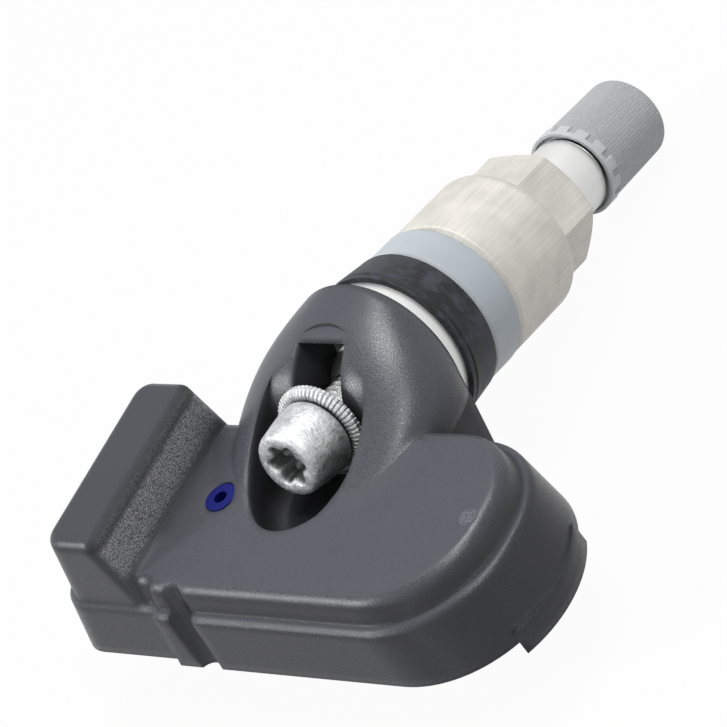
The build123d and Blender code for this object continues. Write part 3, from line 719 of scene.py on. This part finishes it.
class TYRESENSOR_OT_clamp(bpy.types.Operator):
    """Build the serrated lock washer and the threaded clamp screw"""

    bl_idname = "tyresensor.clamp"
    bl_label = "Clamp Screw"

    seat = -16.49 * MM
    washer_height = 1.3 * MM
    washer_radius = 4.9 * MM
    washer_bore = 2.55 * MM
    washer_bevel = 0.55 * MM
    head_gap = 0.04 * MM
    steps_per_tooth = 4
    # Shares of the tooth depth by which the roots move out and along, for each row cut.
    tooth_cuts = {2: (0.0, -1.0), 3: (-0.6, 0.0), 4: (-0.8, 0.3), 5: (-0.2, 0.9), 6: (0.0, 0.4)}

    screw_segments = 96
    screw_radius = 2.5 * MM
    screw_tip = -7.9 * MM
    tip_radius = 2.0 * MM
    tip_bevel = 0.3 * MM
    neck = 0.4 * MM
    rows_per_turn = 8
    thread_depth = 0.42 * MM
    head_height = 5.2 * MM
    rim_radius = 2.7 * MM
    lobes = 6
    lobe_depth = 0.33 * MM
    # The head's radius and its height from the washer, in millimetres.
    head_rows = ((3.55, 0.0), (3.8, 0.1), (3.9, 0.35), (3.9, 1.5), (3.77, 2.6), (3.55, 4.2),
                 (3.48, 4.66), (3.4, 4.9), (3.24, 5.08), (3.02, 5.17))
    # The socket's radius and depth in millimetres, and the share of the lobes there.
    socket_rows = ((2.24, 0.02, 0.5), (2.06, 0.12, 0.8), (1.9, 0.34, 1.0), (1.82, 0.7, 1.0),
                   (1.8, 2.1, 1.0), (1.5, 2.45, 0.5), (0.5, 2.6, 0.0))
    # Where the painted shade inside the socket begins and is full: at its floor, its mouth and its
    # wall.
    socket_floor = (20.4 * MM, 20.6 * MM)
    socket_mouth = (-22.95 * MM, -22.6 * MM)
    socket_radius = 2.3 * MM
    socket_fade = 0.1 * MM

    def execute(self, context):
        look = context.scene.tyre_sensor.clamp
        self.washer(look)
        self.screw(look)
        return {"FINISHED"}

    def washer(self, look):
        """The lock washer, with serrations round both faces."""
        face = self.seat - self.washer_height + self.head_gap
        middle = (self.washer_radius + self.washer_bore) / 2
        inset = self.washer_radius - self.washer_bevel
        rows = [(self.washer_bore, self.seat), (middle, self.seat), (inset, self.seat),
                (self.washer_radius, self.seat - 0.6 * self.washer_bevel),
                (self.washer_radius, face + 0.7 * self.washer_bevel),
                (inset, face), (middle, face), (self.washer_bore, face)]

        def ripple(row, step):
            depth = look.tooth_depth if step % self.steps_per_tooth == 0 else 0.0
            out, up = self.tooth_cuts.get(row, (0.0, 0.0))
            return out * depth, up * depth

        washer = turned_piece("serrated_washer", rows, look.teeth * self.steps_per_tooth, ripple)
        washer.data.materials.append(self.plated(look, "washer_zinc", False))
        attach(washer, "screw_stage")
        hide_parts("lock_washer")

    def screw(self, look):
        """The clamp screw, with a cut thread and a six-lobe socket that has a soft rim."""
        head = self.seat - self.washer_height
        top = head - self.head_height
        start, end = self.screw_tip - self.tip_bevel, head + self.neck
        count = round((start - end) / (look.pitch / self.rows_per_turn))
        rows = [(self.tip_radius, self.screw_tip)]
        rows += [(self.screw_radius, start + (end - start) * step / count)
                 for step in range(count + 1)]
        rows += [(self.screw_radius, head)]
        rows += [(radius * MM, head - rise * MM) for radius, rise in self.head_rows]
        rows += [(self.rim_radius, top)]
        lobed = {}
        for radius, depth, share in self.socket_rows:
            lobed[len(rows)] = share
            rows.append((radius * MM, top + depth * MM))

        def ripple(row, step):
            turn = step / self.screw_segments
            if 1 <= row <= count + 1:
                along = rows[row][1]
                cut = 1 - abs(2 * ((along / look.pitch - turn) % 1.0) - 1)
                ends = min(1.0, (start - along) / look.pitch, (along - end) / look.pitch)
                return -self.thread_depth * cut * ends, 0.0
            lobe = math.cos(2 * math.pi * self.lobes * turn)
            return self.lobe_depth * lobed.get(row, 0.0) * lobe, 0.0

        screw = turned_piece("threaded_screw", rows, self.screw_segments, ripple, solid=True)
        screw.data.materials.append(self.plated(look, "screw_zinc", True))
        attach(screw, "screw")
        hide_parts("fixing_screw")

    def plated(self, look, name, socketed):
        """Mottled zinc on steel, with painted shade in corners and inside the screw's socket."""
        finish = Finish(name, Metallic=1.0)
        place = finish.place()
        cloud = finish.step(finish.noise(place, 1.2 * MM, 6.0, 0.7), 0.3, 0.7)
        specks = finish.step(finish.noise(place, 0.22 * MM, 3.0, 0.6), 0.3, 0.7)
        base = finish.mix(cloud * 0.55 + specks * 0.45,
                          colour(look.steel, 0.62), colour(look.steel, 1.24))
        # Painted shade in corners and creases.
        open_sky = finish.step(finish.open_sky(0.9 * MM), 0.25, 0.8)
        base = finish.mix(open_sky, colour(look.steel, 0.12), base)
        if socketed:
            along = finish.along(place, VALVE_AXIS)
            inward = self.socket_radius - finish.valve_radius(place)
            inside = finish.step(-along, *self.socket_floor)
            inside = inside * finish.step(inward, 0.0, self.socket_fade)
            inside = inside * finish.step(along, *self.socket_mouth)
            # Painted shade inside the screw's socket.
            base = finish.mix(inside * 0.75, base, colour(look.steel, 0.22))
        normal = finish.bump(specks * 0.6 + cloud, 0.05 * MM, 0.6, finish.softened(0.12 * MM))
        return finish.paint(Base_Color=base, Roughness=0.42 + 0.12 * cloud + 0.08 * specks,
                            Normal=normal)


class TYRESENSOR_OT_core(bpy.types.Operator):
    """Finish the valve core inside the stem"""

    bl_idname = "tyresensor.core"
    bl_label = "Valve Core"

    brass_tones = ((0.60, 0.44, 0.18, 1.0), (0.80, 0.64, 0.32, 1.0))
    wire_tones = ((0.45, 0.45, 0.46, 1.0), (0.66, 0.66, 0.67, 1.0))
    rubber_tones = ((0.10, 0.02, 0.015, 1.0), (0.16, 0.035, 0.025, 1.0))

    def execute(self, context):
        dress(["core_body", "core_pin"], self.brass())
        dress(["core_spring"], self.spring_wire())
        dress(["core_gasket", "core_seal"], self.core_rubber())
        return {"FINISHED"}

    def brass(self):
        """Turned brass."""
        finish = Finish("core_brass", Metallic=1.0)
        place = finish.place()
        along = finish.along(place, VALVE_AXIS)
        angle = finish.valve_angle(place)
        rings = finish.noise(finish.unrolled(along, angle * (0.01 * MM)), 0.08 * MM, 2.0)
        cloud = finish.noise(place, 0.9 * MM, 4.0)
        base = finish.mix(cloud, *self.brass_tones)
        return finish.paint(Base_Color=base, Roughness=0.26 + 0.18 * cloud,
                            Normal=finish.bump(rings, 0.008 * MM, 0.6))

    def spring_wire(self):
        """Drawn steel wire."""
        finish = Finish("spring_wire", Metallic=1.0)
        cloud = finish.noise(finish.place(), 0.4 * MM, 3.0)
        base = finish.mix(cloud, *self.wire_tones)
        return finish.paint(Base_Color=base, Roughness=0.25 + 0.15 * cloud)

    def core_rubber(self):
        """Dark red rubber."""
        finish = Finish("core_rubber")
        cloud = finish.noise(finish.place(), 0.5 * MM, 3.0)
        base = finish.mix(cloud, *self.rubber_tones)
        return finish.paint(Base_Color=base, Roughness=0.5 + 0.2 * cloud)


class TYRESENSOR_OT_electronics(bpy.types.Operator):
    """Finish the board, cell, coil and antenna inside the case"""

    bl_idname = "tyresensor.electronics"
    bl_label = "Electronics"

    mask_tones = ((0.012, 0.11, 0.045, 1.0), (0.02, 0.15, 0.065, 1.0))
    track_tone = (0.03, 0.24, 0.10, 1.0)
    black_tones = ((0.012, 0.012, 0.013, 1.0), (0.035, 0.035, 0.036, 1.0))
    copper_tones = ((0.40, 0.14, 0.06, 1.0), (0.80, 0.36, 0.17, 1.0))
    wire_width = 0.12 * MM
    steel_tones = ((0.52, 0.52, 0.52, 1.0), (0.70, 0.70, 0.69, 1.0))

    def execute(self, context):
        dress(["circuit_board"], self.board())
        dress(["sensor_chip", "coil_core"], self.moulded_black())
        dress(["coil_winding"], self.copper())
        dress(["coin_cell", "crystal", "antenna_strip", "lower_tab", "upper_tab"],
              self.pressed_steel())
        return {"FINISHED"}

    def board(self):
        """Solder mask over a weave and raised tracks."""
        finish = Finish("board_mask", Specular_IOR_Level=0.5)
        place = finish.place()
        weave = finish.noise(finish.stretched(place, (1.0, 6.0, 1.0)), 0.9 * MM, 2.0)
        tracks = finish.noise(finish.stretched(place, (0.5, 2.0, 1.0)), 1.4 * MM, 1.0)
        tracks = finish.step(tracks, 0.55, 0.58)
        base = finish.mix(weave, *self.mask_tones)
        base = finish.mix(tracks * 0.6, base, self.track_tone)
        return finish.paint(Base_Color=base, Roughness=0.28 + 0.15 * weave,
                            Normal=finish.bump(tracks, 0.02 * MM, 0.5))

    def moulded_black(self):
        """Speckled black, for the moulded chip and the sintered core."""
        finish = Finish("moulded_black")
        specks = finish.noise(finish.place(), 0.15 * MM, 3.0)
        base = finish.mix(specks, *self.black_tones)
        return finish.paint(Base_Color=base, Roughness=0.5 + 0.2 * specks,
                            Normal=finish.bump(specks, 0.02 * MM, 0.4))

    def copper(self):
        """Enamelled wire, laid side by side."""
        finish = Finish("winding_copper", Metallic=1.0)
        wires = finish.along(finish.place(), Y_AXIS) / self.wire_width
        strands = wires.maths("PINGPONG", 0.5) * 2.0
        base = finish.mix(strands, *self.copper_tones)
        return finish.paint(Base_Color=base, Roughness=0.3 + 0.1 * strands,
                            Normal=finish.bump(strands, 0.05 * MM, 0.8))

    def pressed_steel(self):
        """Bright steel, brushed one way."""
        finish = Finish("pressed_steel", Metallic=1.0)
        brushed = finish.stretched(finish.place(), (12.0, 1.0, 1.0))
        brushed = finish.noise(brushed, 1.2 * MM, 3.0)
        base = finish.mix(brushed, *self.steel_tones)
        return finish.paint(Base_Color=base, Roughness=0.26 + 0.14 * brushed,
                            Normal=finish.bump(brushed, 0.006 * MM, 0.5))


class TYRESENSOR_OT_stage(bpy.types.Operator):
    """Set the camera, floor and studio light"""

    bl_idname = "tyresensor.stage"
    bl_label = "Stage"

    floor_radius = 3.0
    floor_segments = 64
    floor_gap = 0.0003
    floor_tones = ((0.55, 0.55, 0.55, 1.0), (0.58, 0.58, 0.58, 1.0))
    floor_seen = 0.96
    floor_mirrored = 0.62

    def execute(self, context):
        look = context.scene.tyre_sensor.stage
        scene = context.scene
        scene.view_settings.view_transform = "Standard"
        self.camera(scene, look)
        self.floor(scene)
        self.sky(scene, look)
        centre = (Vector(CAD_BOX[0]) + Vector(CAD_BOX[1])) / 2
        for name, offset, size, power in (
                ("lamp_behind", (0.03, 0.17, 0.60), 0.26, look.key),
                ("lamp_front_left", (-0.36, -0.42, 0.32), 0.14, look.fill),
                ("lamp_right", (0.30, -0.06, 0.52), 0.12, look.side)):
            self.lamp(scene, name, centre + Vector(offset), centre, size, power)
        return {"FINISHED"}

    def camera(self, scene, look):
        data = bpy.data.cameras.new("photo_camera")
        data.sensor_fit = "HORIZONTAL"
        data.sensor_width = 36.0
        data.lens = look.lens
        data.clip_start = 0.01
        data.clip_end = 20.0
        right = Vector(look.camera_right).normalized()
        back = -Vector(look.camera_forward).normalized()
        up = back.cross(right).normalized()
        right = up.cross(back).normalized()
        turn = Matrix((right, up, back)).transposed().to_4x4()
        camera = bpy.data.objects.new("photo_camera", data)
        camera.matrix_world = Matrix.Translation(Vector(look.camera_place)) @ turn
        scene.collection.objects.link(camera)
        scene.camera = camera

    def floor(self, scene):
        """A round floor that keeps the shadow, near white to the camera and pale in reflections."""
        mesh = bpy.data.meshes.new("studio_floor")
        shape = bmesh.new()
        bmesh.ops.create_circle(shape, cap_ends=True, segments=self.floor_segments,
                                radius=self.floor_radius)
        shape.to_mesh(mesh)
        shape.free()
        floor = bpy.data.objects.new("studio_floor", mesh)
        floor.location = (0.0, 0.0, CAD_BOX[0][2] - self.floor_gap)
        scene.collection.objects.link(floor)
        finish = Finish("floor_paper", Roughness=0.9, Specular_IOR_Level=0.1)
        cloud = finish.noise(finish.place(), 0.08, 2.0)
        finish.paint(Base_Color=finish.mix(cloud, *self.floor_tones))
        glow = finish.node("ShaderNodeEmission", None, {"Color": WHITE, "Strength": 1.0})
        seen = finish.rays("Is Camera Ray", "Is Transmission Ray")
        white = seen * self.floor_seen + finish.rays("Is Glossy Ray") * self.floor_mirrored
        mixed = finish.node("ShaderNodeMixShader", None,
                            [white, Wire(finish, finish.shader.outputs["BSDF"]), glow])
        finish.tree.links.new(mixed.socket, finish.tree.nodes["Material Output"].inputs["Surface"])
        mesh.materials.append(finish.material)

    def sky(self, scene, look):
        """White to the camera and in reflections, and an even light on the rest."""
        world = bpy.data.worlds.new("studio_sky")
        world.use_nodes = True
        scene.world = world
        paper = Nodes(world.node_tree)
        white = paper.rays("Is Camera Ray", "Is Glossy Ray", "Is Transmission Ray")
        paper.feed(world.node_tree.nodes["Background"],
                   {"Color": WHITE, "Strength": white * (1.0 - look.sky) + look.sky})

    def lamp(self, scene, name, place, target, size, power):
        """A round lamp that points at a target."""
        data = bpy.data.lights.new(name, "AREA")
        data.shape = "DISK"
        data.size = size
        data.energy = power
        lamp = bpy.data.objects.new(name, data)
        aim = (target - place).to_track_quat("-Z", "Y").to_matrix().to_4x4()
        lamp.matrix_world = Matrix.Translation(place) @ aim
        scene.collection.objects.link(lamp)


class TYRESENSOR_PT_panel(bpy.types.Panel):
    """Steps that dress the tyre pressure sensor"""

    bl_idname = "TYRESENSOR_PT_panel"
    bl_label = "Tyre Sensor"
    bl_space_type = "VIEW_3D"
    bl_region_type = "UI"
    bl_category = "Tyre Sensor"

    def draw(self, context):
        for step in STEPS:
            self.layout.operator(step.bl_idname)


STEPS = (TYRESENSOR_OT_case, TYRESENSOR_OT_valve, TYRESENSOR_OT_cap, TYRESENSOR_OT_clamp,
         TYRESENSOR_OT_core, TYRESENSOR_OT_electronics, TYRESENSOR_OT_stage)
LOOKS = (CaseLook, ValveLook, CapLook, ClampLook, StageLook, SensorLook)
CLASSES = LOOKS + STEPS + (TYRESENSOR_PT_panel,)


def register():
    for cls in CLASSES:
        bpy.utils.register_class(cls)
    bpy.types.Scene.tyre_sensor = bpy.props.PointerProperty(type=SensorLook)


def unregister():
    del bpy.types.Scene.tyre_sensor
    for cls in reversed(CLASSES):
        bpy.utils.unregister_class(cls)


def main():
    register()
    bpy.ops.tyresensor.case()
    bpy.ops.tyresensor.valve()
    bpy.ops.tyresensor.cap()
    bpy.ops.tyresensor.clamp()
    bpy.ops.tyresensor.core()
    bpy.ops.tyresensor.electronics()
    bpy.ops.tyresensor.stage()


if __name__ == "__main__":
    main()
